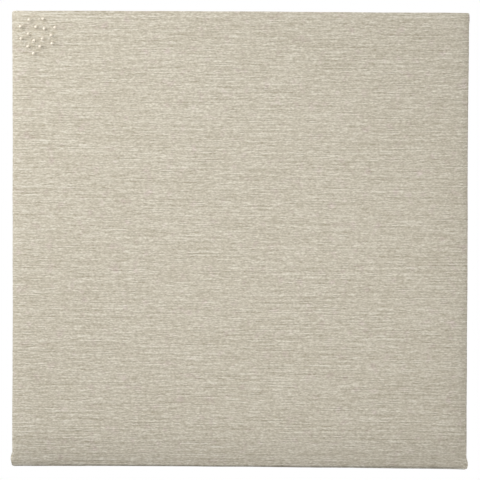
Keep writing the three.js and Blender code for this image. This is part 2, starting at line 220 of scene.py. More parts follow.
# Hanger plates
plate_corner = 3 * MM
plate_edge = 0.15 * MM
plate_sharp_angle = 50
keyhole_entry = 4.5 * MM
keyhole_slot = 2.3 * MM
keyhole_length = 7.6 * MM
screw_hole = 3.05 * MM
hole_sides = 24
weld_distance = 0.001 * MM

# Plate screws, and the cross recess in their heads
round_sides = 48
screw_shank = 1.3 * MM
screw_cone = 1.5 * MM
screw_point = 2.5 * MM
screw_rim = 0.12 * MM
crown_rings = 14
crown_fall = 0.02 * MM
crown_share = 0.98
recess_arm = 1.5 * MM
recess_half = 0.35 * MM
recess_depth = 0.8 * MM
recess_slope = 0.5 * MM
recess_skin = 0.05 * MM

# Bumpers: the wall's share of the height, the dome's flat share of the radius and its start and rise
# as shares of the height, and both shares for its top
wall_share = 0.35
dome_shares = (0.62, 0.45, 0.5)
dome_top_shares = (0.3, 0.99)
dome_step = 15

# Camera, fitted to the board's outline in the photo
camera_place = (0.0458, -2.6475, 0.0833)
camera_pitch, camera_yaw, camera_roll = -1.792, 1.0, -0.289
lens = 150
sensor = 36

# Lamps: each one's place, size, power, and whether gloss shows it. They light the face from its left,
# the face from before it, and the back and the right side.
lamps = (
    ((-0.905, -0.973, 0.441), 1.3, 13.9, True),
    ((0.2, -0.6, -0.1), 0.3, 0.76, True),
    ((0.9, 1, 0.45), 2, 14, False),
)
sky_strength = 0.63
floor_half = 2
floor_drop = 0.65
floor_shades = (0.90, 0.93)
floor_grey = 0.05
floor_glow = 0.16


# Mesh helpers

def link_object(name, data):
    made = bpy.data.objects.new(name, data)
    bpy.context.scene.collection.objects.link(made)
    return made


def add_object(name, data, body=BOARD, place=(0, 0, 0)):
    """A piece at a place that rides on a body"""
    piece = link_object(name, data)
    piece.location = place
    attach(piece, body)
    return piece


def add_piece(name, vertices, faces, material):
    """A smooth-shaded piece that rides on the board"""
    mesh = bpy.data.meshes.new(name)
    mesh.from_pydata(vertices, [], faces)
    mesh.shade_smooth()
    mesh.materials.append(material)
    return add_object(name, mesh)


def turned_mesh(name, profile, sides, material, sharp_angle=40):
    """A solid turned about Y from a profile of (radius, depth) pairs that starts and ends on the axis"""
    points, faces = [(0, profile[0][1], 0)], []
    for radius, y in profile[1:-1]:
        for i in range(sides):
            angle = 2 * math.pi * i / sides
            points.append((radius * math.cos(angle), y, radius * math.sin(angle)))
    points.append((0, profile[-1][1], 0))
    rings = len(profile) - 2
    last = len(points) - 1
    for i in range(sides):
        n = (i + 1) % sides
        faces.append((0, 1 + i, 1 + n))
        for r in range(rings - 1):
            here, there = 1 + r * sides, 1 + (r + 1) * sides
            faces.append((here + i, there + i, there + n, here + n))
        faces.append((last - sides + i, last, last - sides + n))
    mesh = bpy.data.meshes.new(name)
    mesh.from_pydata(points, [], faces)
    mesh.shade_smooth()
    mesh.set_sharp_from_angle(angle=math.radians(sharp_angle))
    mesh.materials.append(material)
    return mesh


def arc(centre, radius, start, end, steps):
    """Points of an arc, with angles in degrees from the first axis"""
    angles = (math.radians(start + (end - start) * i / steps) for i in range(steps + 1))
    return [(centre[0] + radius * math.cos(a), centre[1] + radius * math.sin(a)) for a in angles]


def smooth_step(value):
    """Rises smoothly from 0 to 1 as the value does"""
    clipped = np.clip(value, 0, 1)
    return clipped * clipped * (3 - 2 * clipped)


def ripple(along, across, pace, bend, bend_pace, start):
    """A wave that runs one way and is bent by a slower one across it"""
    return np.sin(pace * along + start + bend * np.sin(bend_pace * across))


# Material helpers

def new_material(name):
    """A material, its node tree and its surface shader"""
    material = bpy.data.materials.new(name)
    material.use_nodes = True
    return material, material.node_tree, material.node_tree.nodes["Principled BSDF"]


def node(tree, kind, *sources, **settings):
    """Adds a node, sets its settings, and feeds its inputs in order from sockets or constants"""
    made = tree.nodes.new("ShaderNode" + kind)
    for key, value in settings.items():
        setattr(made, key, value)
    for socket, source in zip([s for s in made.inputs if s.enabled], sources):
        feed(tree, socket, source)
    return made


def feed(tree, socket, source):
    """Links a node or an output to a socket, or sets a constant on it"""
    if isinstance(source, bpy.types.Node):
        source = next(s for s in source.outputs if s.enabled)
    if isinstance(source, bpy.types.NodeSocket):
        tree.links.new(source, socket)
    else:
        socket.default_value = source


def math_node(tree, operation, *sources):
    return node(tree, "Math", *sources, operation=operation)


def weighed(tree, first, second, share):
    """Two values added up, the first by a share and the second by the rest"""
    rest = math_node(tree, "MULTIPLY", second, 1 - share)
    return math_node(tree, "MULTIPLY_ADD", first, share, rest)


def object_place(tree):
    return node(tree, "TexCoord").outputs["Object"]


def scaled(tree, vector, scale):
    """A vector stretched by a scale for each axis"""
    return node(tree, "VectorMath", vector, scale, operation="MULTIPLY")


def grained(tree, place, axis, along, across):
    """A place scaled one way along an axis and another way across it"""
    scale = [across] * 3
    scale[axis] = along
    return scaled(tree, place, scale)


def noise(tree, vector, scale=1.0, detail=2.0, roughness=0.5, distortion=0.0):
    made = node(tree, "TexNoise", vector)
    made.inputs["Scale"].default_value = scale
    made.inputs["Detail"].default_value = detail
    made.inputs["Roughness"].default_value = roughness
    made.inputs["Distortion"].default_value = distortion
    return made.outputs["Fac"]


def ramp(tree, factor, *stops):
    """A colour ramp through (place, colour) stops"""
    made = node(tree, "ValToRGB", factor)
    elements = made.color_ramp.elements
    while len(elements) < len(stops):
        elements.new(0.5)
    for element, (place, colour) in zip(elements, stops):
        element.position = place
        element.color = (*colour, 1)
    return made.outputs["Color"]


def mixed(tree, factor, first, second, blend="MIX"):
    made = node(tree, "Mix", data_type="RGBA", blend_type=blend)
    feed(tree, made.inputs[0], factor)
    feed(tree, made.inputs[6], first)
    feed(tree, made.inputs[7], second)
    return made.outputs[2]


def paint(tree, shader, colour):
    tree.links.new(colour, shader.inputs["Base Color"])


def vary_roughness(tree, shader, source, reach, base):
    """Roughness that moves away from a base as a source's value grows"""
    feed(tree, shader.inputs["Roughness"], math_node(tree, "MULTIPLY_ADD", source, reach, base))


def bump(tree, shader, height, distance, strength):
    made = node(tree, "Bump")
    made.inputs["Strength"].default_value = strength
    made.inputs["Distance"].default_value = distance
    feed(tree, made.inputs["Height"], height)
    tree.links.new(made.outputs["Normal"], shader.inputs["Normal"])


def seen_directly(tree):
    """1 where the camera, a reflection or glass sees a surface, and 0 where it lights something"""
    rays = node(tree, "LightPath").outputs
    sharp = math_node(tree, "MAXIMUM", rays["Is Glossy Ray"], rays["Is Transmission Ray"])
    return math_node(tree, "MAXIMUM", rays["Is Camera Ray"], sharp)


def srgb(red, green, blue):
    """A linear colour from 8-bit screen values"""
    shares = (value / 255 for value in (red, green, blue))
    return tuple(s / 12.92 if s <= 0.04045 else ((s + 0.055) / 1.055) ** 2.4 for s in shares)


# Materials

def thread_swelling(tree, along, thread, parts):
    """How thick a weft thread is, about 0, from parts that each read their own layer of noise"""
    total = swelling_middle
    row = math_node(tree, "MULTIPLY", thread, thread_stride)
    for length, weight, octaves in parts:
        place = node(tree, "CombineXYZ", math_node(tree, "DIVIDE", along, length), row, length / MM)
        part = math_node(tree, "SUBTRACT", noise(tree, place, detail=octaves), 0.5)
        total = math_node(tree, "MULTIPLY_ADD", part, weight, total)
    return total


def make_cloth():
    """Plain-woven beige cloth. Its weft threads are uneven, and each is shaded by the one above it"""
    material, tree, shader = new_material("slub_cloth")
    weave = node(tree, "Attribute", attribute_name="weave").outputs["Vector"]
    slub = node(tree, "Attribute", attribute_name="slub").outputs["Fac"]
    place = node(tree, "SeparateXYZ", weave)
    along = place.outputs["X"]
    drift = math_node(tree, "SUBTRACT", noise(tree, weave, scale=11, detail=1), 0.5)
    height = math_node(tree, "ADD", place.outputs["Y"], math_node(tree, "MULTIPLY", drift, sway_reach))
    across = math_node(tree, "DIVIDE", height, thread_pitch)
    thread = math_node(tree, "FLOOR", across)
    next_thread = math_node(tree, "ADD", thread, 1)
    own = thread_swelling(tree, along, thread, swelling_parts)
    above = thread_swelling(tree, along, next_thread, swelling_parts[1:])

    # Painted shade: a thread's colour darkens where the thread above it swells, as if that thread shaded it
    tone = math_node(tree, "MULTIPLY_ADD", above, -shading_share, math_node(tree, "ADD", own, 0.5))
    tone = math_node(tree, "MULTIPLY_ADD", slub, slub_lightening, tone)
    yarn = ramp(tree, tone, (0, srgb(171, 162, 142)), (0.5, srgb(201, 193, 176)), (1, srgb(231, 226, 213)))
    strays = noise(tree, weave, scale=70, detail=1)
    tint = ramp(tree, strays, (0.6, srgb(255, 255, 254)), (0.8, srgb(255, 249, 255)))
    paint(tree, shader, mixed(tree, 1, yarn, tint, "MULTIPLY"))

    weft = math_node(tree, "PINGPONG", across, 0.5)
    warp = math_node(tree, "PINGPONG", math_node(tree, "DIVIDE", along, warp_pitch), 0.5)
    woven = math_node(tree, "MULTIPLY_ADD", warp, warp_relief_share, weft)
    relief = math_node(tree, "MULTIPLY_ADD", own, swelling_relief_share, woven)
    bump(tree, shader, relief, cloth_relief, 0.7)
    vary_roughness(tree, shader, own, -0.1, 0.93)
    shader.inputs["Sheen Weight"].default_value = 0.12
    shader.inputs["Sheen Roughness"].default_value = 0.5
    shader.inputs["Specular IOR Level"].default_value = 0.2
    return material


def make_fleece():
    """Needled off-white wadding"""
    material, tree, shader = new_material("white_fleece")
    place = object_place(tree)
    fibres = noise(tree, scaled(tree, place, (900, 900, 300)), detail=4, roughness=0.6, distortion=1.5)
    tufts = noise(tree, place, scale=160, detail=3)
    mass = weighed(tree, fibres, tufts, 0.6)
    colour = ramp(tree, mass, (0.3, srgb(220, 217, 208)), (0.7, srgb(245, 243, 238)))
    paint(tree, shader, colour)
    shader.inputs["Roughness"].default_value = 1
    bump(tree, shader, fibres, fleece_relief, 0.8)
    return material


def make_softboard():
    """Pressed wood fibre with loose strands and pores"""
    material, tree, shader = new_material("fibre_softboard")
    place = object_place(tree)
    strands = noise(tree, place, scale=700, detail=5, roughness=0.7, distortion=2)
    blotches = noise(tree, place, scale=90, detail=3)
    mass = weighed(tree, strands, blotches, 0.7)
    colour = ramp(tree, mass,
                  (0.3, srgb(118, 92, 62)), (0.55, srgb(168, 141, 104)), (0.75, srgb(201, 178, 142)))
    paint(tree, shader, colour)
    shader.inputs["Roughness"].default_value = 0.96
    bump(tree, shader, strands, softboard_relief, 0.9)
    return material


def make_pine(name, grain_axis):
    """Planed pine whose grain runs along one axis"""
    material, tree, shader = new_material(name)
    place = object_place(tree)
    waves = noise(tree, grained(tree, place, grain_axis, 2.2, 60), detail=3, distortion=0.4)
    rings = math_node(tree, "PINGPONG", math_node(tree, "MULTIPLY", waves, 9), 0.5)
    pores = noise(tree, grained(tree, place, grain_axis, 14, 900), roughness=0.6)
    late_wood = math_node(tree, "POWER", math_node(tree, "MULTIPLY", rings, 2), 2.2)
    colour = ramp(tree, late_wood,
                  (0, srgb(228, 200, 154)), (0.55, srgb(219, 186, 136)), (1, srgb(190, 146, 92)))
    streaks = ramp(tree, pores, (0.35, srgb(232, 222, 206)), (0.6, srgb(255, 255, 255)))
    paint(tree, shader, mixed(tree, 1, colour, streaks, "MULTIPLY"))
    vary_roughness(tree, shader, late_wood, -0.12, 0.72)
    bump(tree, shader, math_node(tree, "MULTIPLY_ADD", late_wood, 0.5, pores), pine_relief, 0.6)
    return material


def make_hardboard():
    """Smooth brown hardboard with pressed fibre flecks"""
    material, tree, shader = new_material("brown_hardboard")
    place = object_place(tree)
    flecks = noise(tree, place, scale=520, detail=4, roughness=0.65, distortion=1)
    clouds = noise(tree, place, scale=14, detail=4, roughness=0.55)
    mass = weighed(tree, flecks, clouds, 0.75)
    colour = ramp(tree, mass,
                  (0.34, srgb(104, 72, 45)), (0.5, srgb(131, 96, 63)), (0.68, srgb(160, 124, 86)))
    paint(tree, shader, colour)
    vary_roughness(tree, shader, clouds, 0.25, 0.42)
    bump(tree, shader, flecks, hardboard_relief, 0.5)
    return material


def make_metal(name, colour, roughness, scale, streak=(1, 1, 1)):
    """Metal whose shade and gloss vary in spangles or drawn streaks"""
    material, tree, shader = new_material(name)
    place = scaled(tree, object_place(tree), streak)
    patches = noise(tree, place, scale=scale, detail=3, roughness=0.6, distortion=0.8)
    dull = tuple(value * metal_dull_share for value in srgb(*colour))
    paint(tree, shader, ramp(tree, patches, (0.3, dull), (0.7, srgb(*colour))))
    vary_roughness(tree, shader, patches, 0.2, roughness - 0.1)
    shader.inputs["Metallic"].default_value = 1
    bump(tree, shader, patches, metal_relief, 0.4)
    return material


def make_rubber():
    """Pale moulded rubber"""
    material, tree, shader = new_material("pale_rubber")
    place = object_place(tree)
    grain = noise(tree, place, scale=1800)
    haze = noise(tree, place, scale=260)
    colour = ramp(tree, haze, (0.3, srgb(219, 219, 213)), (0.7, srgb(236, 236, 231)))
    paint(tree, shader, colour)
    vary_roughness(tree, shader, grain, 0.15, 0.42)
    bump(tree, shader, grain, rubber_relief, 0.4)
    return material


def make_pin_plastic():
    """Glossy warm white plastic with faint moulding flow"""
    material, tree, shader = new_material("white_pin_plastic")
    flow = noise(tree, object_place(tree), scale=420, detail=3, distortion=1)
    colour = ramp(tree, flow, (0.3, srgb(241, 231, 212)), (0.7, srgb(248, 239, 222)))
    paint(tree, shader, colour)
    vary_roughness(tree, shader, flow, 0.12, 0.4)
    shader.inputs["Specular IOR Level"].default_value = 0.35
    bump(tree, shader, flow, plastic_relief, 0.3)
    return material


# Cloth sheet

def make_slubs():
    """Swellings of each weft thread, thread by thread, along its length"""
    random = np.random.default_rng(weave_seed)
    threads = round(2 * weave_half / thread_pitch)
    steps = round(2 * weave_half / slub_step)
    raw = random.standard_normal((threads, steps))
    pace = np.fft.rfftfreq(steps, slub_step)
    total = np.zeros_like(raw)
    for length, weight in slub_parts:
        softened = np.fft.irfft(np.fft.rfft(raw) * np.exp(-2 * (math.pi * pace * length) ** 2), steps)
        total += weight * softened / softened.std()
        raw = np.roll(raw, threads // 2, axis=0)
    return total


slubs = make_slubs()


def slub_at(u, v):
    """Swelling of the cloth at flat places, between its threads and steps"""
    row = np.clip((v + weave_half) / thread_pitch, 0, slubs.shape[0] - grid_end)
    step = np.clip((u + weave_half) / slub_step, 0, slubs.shape[1] - grid_end)
    r, s = row.astype(int), step.astype(int)
    a, b = row - r, step - s
    near = slubs[r, s] * (1 - b) + slubs[r, s + 1] * b
    far = slubs[r + 1, s] * (1 - b) + slubs[r + 1, s + 1] * b
    return near * (1 - a) + far * a


def roll_share(inset, roll, sunk):
    """Share of a roll's depth that the sheet has dropped at an inset from the core's edge"""
    reach = np.clip((roll.width - inset) / (roll.width + cloth_stand - sunk), 0, 1)
    return 1 - (1 - reach**2) ** (1 / roll.power)


def rolled(place, inset, names, sunk):
    """Share dropped and full depth of a face, over the roll that lies on the place's side of the middle"""
    shares = [roll_share(inset, rolls[name], sunk) for name in names]
    depths = [rolls[name].depth - sunk for name in names]
    return np.where(place < 0, *shares), np.where(place < 0, *depths)


def face_depth(x, z, inset_x, inset_z, sunk=0.0):
    """Depth of a face of the sheet over the board's front. sunk is how far it lies inside the outer face."""
    side, side_depth = rolled(x, inset_x, ("left", "right"), sunk)
    end, end_depth = rolled(z, inset_z, ("bottom", "top"), sunk)
    return front_y + sunk + side * side_depth + (1 - side) * end * end_depth


def front_columns():
    """Places of the front's columns, close together near its ends"""
    edge = half_width - cloth_corner
    ends = [0, *(share * column_pitch for share in column_end_shares)]
    inner = edge - ends.pop()
    middle = np.linspace(-inner, inner, round(2 * inner / column_pitch) + 1)
    return np.concatenate([[-edge + end for end in ends], middle, [edge - end for end in reversed(ends)]])


def front_rows():
    edge = half_height - cloth_corner
    return np.linspace(-edge, edge, round(2 * edge / thread_pitch) + 1)


def rim_columns(columns, rows):
    """Columns of cloth over the rim, anticlockwise from the lower right corner:
    the place on the front where each one starts, and the way that it turns"""
    last_column, last_row = len(columns) - 1, len(rows) - 1
    dense = round(dense_length / thread_pitch)
    upright = [row for row in range(last_row + 1)
               if row < dense or row > last_row - dense or (row - dense) % sparse_step == 0]
    level = list(range(last_column + 1))
    walks = [
        [(last_column, row) for row in upright],
        [(column, last_row) for column in reversed(level)],
        [(0, row) for row in reversed(upright)],
        [(column, 0) for column in level],
    ]
    found = []
    for side, walk in enumerate(walks):
        found += [(spot, side * 90) for spot in walk]
        found += [(walk[-1], side * 90 + 90 * step / corner_steps) for step in range(1, corner_steps)]
    return found


def rim_of(columns, rows, flat):
    """The rim's columns as arrays: where they start, how they turn, and how they gather, bow and wander"""
    found = rim_columns(columns, rows)
    start = np.array([row * len(columns) + column for (column, row), _ in found])
    angle = np.array([turn for _, turn in found], float)
    foot = flat[start]
    out = np.stack([np.cos(np.radians(angle)), np.sin(np.radians(angle))], 1)
    ends = np.array([half_width, half_height]) - cloth_corner - np.abs(foot)
    gather = np.sign(foot) * np.clip(1 - ends / gather_length, 0, 1) ** 2
    bow = np.array([bow_of(*spot) for spot in zip(angle, *foot.T)])
    middle = (1 - np.abs(gather)).min(1)
    pace, bend_pace = hem_paces
    wander = hem_wander * middle * ripple(foot @ pace, foot @ bend_pace, 1, 2, 1, 0)
    return SimpleNamespace(start=start, angle=angle, foot=foot, out=out,
                           gather=gather, bow=bow, wander=wander)


def bow_of(angle, x, z):
    """How far a column of the rim stands out from the straight line of its side"""
    names = ("right", "top", "left", "bottom")
    turn = angle / 90
    blend = turn % 1
    both = []
    for name in (names[int(turn) % 4], names[math.ceil(turn) % 4]):
        along = z / half_height if name in HANDS else x / half_width
        both.append(np.interp(along, bow_shares, bows[name]))
    return both[0] * (1 - blend) + both[1] * blend


# A ring of the sheet's section: its kind and place, the shares that it takes of the side's bow,
# the fold and the hem's wander, and how far it lies inside the outer face.
# A side ring's y is its share of the way to the back.
Ring = namedtuple("Ring", "kind inset y lift fold hem sunk", defaults=(0, 0, 0, 0, 0))


def outer_section():
    """Rings of the sheet's outer face, from the front's rolled edge to the hem's cut edge"""
    rings = []
    for step in range(1, roll_steps + 1):
        share = (1 - step / roll_steps) ** roll_pace
        inset = cloth_corner * share - cloth_stand * (1 - share)
        rings.append(Ring("rolled", inset, lift=1 - share, fold=(1 - share) ** 2))
    end_inset = rail_setback - cloth_reach
    for step in range(1, side_steps + 1):
        share = step / side_steps
        drawn_in = max(0.0, share - straight_share) / (1 - straight_share)
        inset = -cloth_stand + (end_inset + cloth_stand) * drawn_in**draw_power
        lift = 1 - (1 - bow_end_share) * share
        rings.append(Ring("side", inset, share, lift, 1 - (1 - fold_end_share) * drawn_in**3))
    for x, y in arc((rail_setback, 0), cloth_reach, 180, 90, turn_steps)[1:]:
        share = 1 - y / cloth_reach
        rings.append(Ring("back", x, y, bow_end_share * share, fold_end_share * share,
                          hem_start_share * (1 - share)))
    for step in range(1, hem_steps + 1):
        share = step / hem_steps
        inset = rail_setback + (hem_width - rail_setback) * share
        hem = hem_start_share + (1 - hem_start_share) * share
        rings.append(Ring("back", inset, cloth_reach, hem=hem))
    middle = (cloth_clearance + cloth_reach) / 2
    for x, y in arc((hem_width, middle), hem_edge, hem_edge_angle, -hem_edge_angle, hem_edge_steps):
        rings.append(Ring("back", x, y, hem=1))
    return rings


def inner_section():
    """Rings of the sheet's inner face, from the hem back to the front"""
    sunk = cloth_thickness
    side = sunk - cloth_stand
    rings = [
        Ring("back", hem_width - hem_edge, cloth_clearance, hem=1, sunk=sunk),
        Ring("back", rail_setback, cloth_clearance, sunk=sunk),
        Ring("back", rail_setback - cloth_clearance, lift=bow_end_share, sunk=sunk),
        Ring("side", side, 0.5, lift=(1 + bow_end_share) / 2, sunk=sunk),
    ]
    for share in inner_roll_shares:
        inset = side * share + cloth_corner * (1 - share)
        rings.append(Ring("rolled", inset, lift=share, sunk=sunk))
    return rings


def fold_at(x, z, depth):
    """How far folded cloth stands out on the left and right sides, at a depth behind the front"""
    from_end = half_height - np.abs(z)
    stand = np.zeros_like(z)
    for (side, end), fold in folds.items():
        place = np.clip((from_end - fold.middle) / fold.reach, -1, 1)
        swell = fold.rise * np.cos(place * math.pi / 2) ** 2
        stand = np.where((x * side > 0) & (z * end > 0), swell, stand)
    return stand * smooth_step((depth - fold_slant * from_end) / fold_lip + 0.5)


def hem_rise(rim):
    """How far the hem's loose edge stands off the rails, between its staples and where it is doubled"""
    level = rim.out[:, 0] ** 2 > 0.5
    along = np.where(level, rim.foot[:, 1], rim.foot[:, 0])
    half = np.where(level, half_height, half_width)
    between = 0.5 + 0.5 * np.cos(math.pi * staples_per_side * (along / half + 1))
    doubled = smooth_step((pleat_length - half + np.abs(along)) / pleat_lip + 0.5)
    return hem_lift * between + pleat_rise * doubled * level


def ring_depth(ring, rim):
    """Depth of each of a ring's points"""
    if ring.kind == "back":
        return ring.y + ring.hem * hem_rise(rim)
    (x, z), sunk = rim.foot.T, ring.sunk
    inset = ring.inset if ring.kind == "rolled" else sunk - cloth_stand
    over_side = face_depth(x, z, inset, half_height - np.abs(z), sunk)
    over_end = face_depth(x, z, half_width - np.abs(x), inset, sunk)
    depth = rim.out[:, 0] ** 2 * over_side + rim.out[:, 1] ** 2 * over_end
    return depth * (1 - ring.y)


def cloth_mesh(material):
    """The cover as one closed sheet, with its flat places kept for the weave"""
    columns, rows = front_columns(), front_rows()
    width = len(columns)
    x, z = (grid.ravel() for grid in np.meshgrid(columns, rows))
    y = face_depth(x, z, half_width - np.abs(x), half_height - np.abs(z))
    points = [np.stack([x, y, z], 1)]
    flat = [np.stack([x, z], 1)]
    cells = np.arange(len(rows) * width).reshape(len(rows), width)
    quads = np.stack([cells[:-1, :-1], cells[:-1, 1:], cells[1:, 1:], cells[1:, :-1]], 2)
    faces = quads.reshape(-1, 4).tolist()

    rim = rim_of(columns, rows, flat[0])
    foot_x, foot_z = rim.foot.T
    level = rim.out[:, 0] ** 2
    before = (cloth_corner, front_y)
    spent = 0.0
    for ring in outer_section() + inner_section():
        radius = max(cloth_corner - ring.inset, mitre_radius)
        gathered = rim.gather * (ring.inset + radius - cloth_corner)
        depth = ring_depth(ring, rim)
        stand = ring.fold * level * fold_at(foot_x, foot_z, depth - front_y)
        reach = radius + ring.lift * rim.bow + ring.hem * rim.wander + stand
        place = rim.foot - gathered + rim.out * reach[:, None]
        points.append(np.stack([place[:, 0], depth, place[:, 1]], 1))
        middle = (ring.inset, float(np.median(depth)))
        spent += math.dist(middle, before) * (-1 if ring.sunk else 1)
        before = middle
        flat.append(rim.foot - gathered * np.abs(rim.out[:, ::-1]) + rim.out * max(spent, 0))

    count = len(rim.start)
    for k in range(count):
        n = (k + 1) % count
        a, b = len(x) + k, len(x) + n
        faces.append([a, b, *grid_walk(rim.start[n], rim.start[k], width)])
        for _ in range(len(points) - 2):
            faces.append([a, a + count, b + count, b])
            a, b = a + count, b + count
    faces += inner_front(points, flat, rim)
    mesh = bpy.data.meshes.new("cloth_cover")
    mesh.from_pydata(np.concatenate(points), [], faces)
    mesh.shade_smooth()
    mesh.materials.append(material)
    flat = np.concatenate(flat)
    inner_start = len(flat) - len(inner_section()) * count - 4
    lay_out(mesh, flat, inner_start)
    dress_threads(mesh, flat, inner_start)
    return mesh


def grid_walk(a, b, width):
    """Grid vertices from a to b along a straight line of the front's edge"""
    if a == b:
        return [int(a)]
    step = (1 if abs(b - a) < width else width) * (1 if b > a else -1)
    return list(range(int(a), int(b) + step, step))


def inner_front(points, flat, rim):
    """Closes the inner face with a flat rectangle and four sloping strips"""
    count = len(rim.start)
    total = sum(len(p) for p in points)
    last = total - count
    left, right = padding_low.x - cloth_thickness, padding_high.x + cloth_thickness
    bottom, top = padding_low.z - cloth_thickness, padding_high.z + cloth_thickness
    y = front_y + cloth_thickness
    points.append(np.array([(right, y, bottom), (right, y, top), (left, y, top), (left, y, bottom)]))
    flat.append(points[-1][:, ::2])
    corners = [k for k in range(count) if rim.angle[k] % 90 == 45]
    strips = []
    for i, corner in enumerate(corners):
        begin = corners[i - 1] - (count if i == 0 else 0)
        ring = [last + k % count for k in range(begin, corner + 1)]
        strips.append([total + (i - 1) % 4, total + i, *reversed(ring)])
    return [*strips, [total + 3, total + 2, total + 1, total]]


def lay_out(mesh, flat, inner_start):
    """Maps the outer face flat onto the unit square, and the inner one, small, into its free corner"""
    around = 2 * np.abs(flat).max() * map_margin
    outer = flat / around + 0.5
    inner = outer * inner_map_share
    corners, starts = np.empty(len(mesh.loops), np.int32), np.empty(len(mesh.polygons), np.int32)
    mesh.loops.foreach_get("vertex_index", corners)
    mesh.polygons.foreach_get("loop_start", starts)
    hidden = np.maximum.reduceat(corners, starts) >= inner_start
    sizes = np.diff(np.append(starts, len(corners)))
    place = np.where(np.repeat(hidden, sizes)[:, None], inner[corners], outer[corners])
    chart = mesh.uv_layers.new(name="OFBake")
    chart.data.foreach_set("uv", place.astype(np.float32).ravel())


def dress_threads(mesh, flat, inner_start):
    """Stores the flat places and the slubs on the sheet and raises its threads and faint waves"""
    count = len(mesh.vertices)
    u, v = flat[:, 0], flat[:, 1]
    swelling = slub_at(u, v)
    weave = mesh.attributes.new("weave", "FLOAT_VECTOR", "POINT")
    weave.data.foreach_set("vector", np.stack([u, v, np.zeros(count)], 1).astype(np.float32).ravel())
    slub = mesh.attributes.new("slub", "FLOAT", "POINT")
    slub.data.foreach_set("value", swelling.astype(np.float32))
    place, normal = np.empty(count * 3, np.float32), np.empty(count * 3, np.float32)
    mesh.vertices.foreach_get("co", place)
    mesh.vertices.foreach_get("normal", normal)
    waves = ripple(u, v, *cloth_waves[0]) * ripple(v, u, *cloth_waves[1])
    rise = slub_relief * np.clip(swelling, -slub_limit, slub_limit) + waves_height * waves
    rise[inner_start:] = 0
    mesh.vertices.foreach_set("co", place + normal * np.repeat(rise, 3).astype(np.float32))
    mesh.update()


def make_cover(material):
    cover = add_object("cloth_cover", cloth_mesh(material))
    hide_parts("fabric_cover")


# Padding

def make_padding(material):
    """A soft sheet whose edges thin out"""
    steps = padding_steps
    xs = np.linspace(padding_low.x, padding_high.x, steps + 1)
    zs = np.linspace(padding_low.z, padding_high.z, steps + 1)
    x, z = (grid.ravel() for grid in np.meshgrid(xs, zs))
    from_edge = np.minimum.reduce([x - xs[0], xs[-1] - x, z - zs[0], zs[-1] - z])
    full = np.clip(from_edge / padding_taper, 0, 1)
    lumps = padding_lumps * ripple(x, z, *padding_waves[0]) * ripple(z, x, *padding_waves[1])
    thickness = padding_high.y - padding_low.y
    share = padding_edge_share + (1 - padding_edge_share) * np.sqrt(full)
    front = padding_high.y - thickness * share + lumps * full
    side = steps + 1
    count = side * side
    vertices = [*zip(x, front, z), *zip(x, np.full(count, padding_high.y), z)]
    faces = []
    for r in range(steps):
        for c in range(steps):
            a = r * side + c
            quad = (a, a + 1, a + side + 1, a + side)
            faces += [quad, tuple(count + i for i in reversed(quad))]
    loop = [*range(steps), *range(steps, count - 1, side), *range(count - 1, count - side, -1),
            *range(count - side, 0, -side)]
    for a, b in zip(loop, loop[1:] + loop[:1]):
        faces.append((a, count + a, count + b, b))
    padding = add_piece("fleece_padding", vertices, faces, material)
    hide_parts("padding_sheet")


# Pins

def head_profile(radius, ball_y, neck_y):
    """A ball that runs through a hollow curve into a short flared neck"""
    neck = neck_share * radius
    flare = flare_share * radius
    angles = (math.radians(a) for a in range(0, ball_end, ball_step))
    ball = [(radius * math.sin(a), ball_y - radius * math.cos(a)) for a in angles]
    waist_y = ball[-1][1] + waist_share * radius
    depths = (waist_y, (waist_y + neck_y) / 2, neck_y - flare / 2, neck_y)
    return [*ball, *((neck + share * flare, y) for share, y in zip(flare_shares, depths)), (0, neck_y)]


def needle_profile(radius, start_y, end_y):
    """A plain shaft with a slender point"""
    radius_share, length_share = needle_taper_shares
    taper = (radius * radius_share, end_y - length_share * needle_point)
    tip = (needle_tip_radius, end_y - needle_tip_length)
    return [(0, start_y), (radius, start_y), (radius, end_y - needle_point), taper, tip, (0, end_y)]


def make_pins(plastic, steel):
    low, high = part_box("pin_01_head")
    radius = (high.x - low.x) / 2
    profile = head_profile(radius, low.y + radius, high.y)
    head_mesh = turned_mesh("pin_head", profile, pin_sides, plastic, sharp_angle=60)
    low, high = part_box("pin_01_needle")
    profile = needle_profile((high.x - low.x) / 2, low.y, high.y)
    needle_mesh = turned_mesh("pin_needle", profile, needle_sides, steel)
    for number in range(1, pin_count + 1):
        pin = f"pin_{number:02d}"
        low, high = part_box(f"{pin}_head")
        place = ((low.x + high.x) / 2, 0, (low.z + high.z) / 2)
        head = add_object(f"{pin}_ball", head_mesh, pin, place)
        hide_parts(f"{pin}_head")
        shaft = add_object(f"{pin}_shaft", needle_mesh, pin, place)
        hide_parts(f"{pin}_needle")


# Staples

def staple_path(width, leg_y, crown_y):
    """Centre line of a bent wire from leg to leg over the crown, as (along, depth) pairs"""
    half = width / 2
    bend = staple_bend
    right = arc((half - bend, crown_y - bend), bend, 0, 90, staple_bend_steps)
    left = [(-a, y) for a, y in reversed(right)]
    return [(half, leg_y), *right, (0, crown_y - staple_dip), *left, (-half, leg_y)]


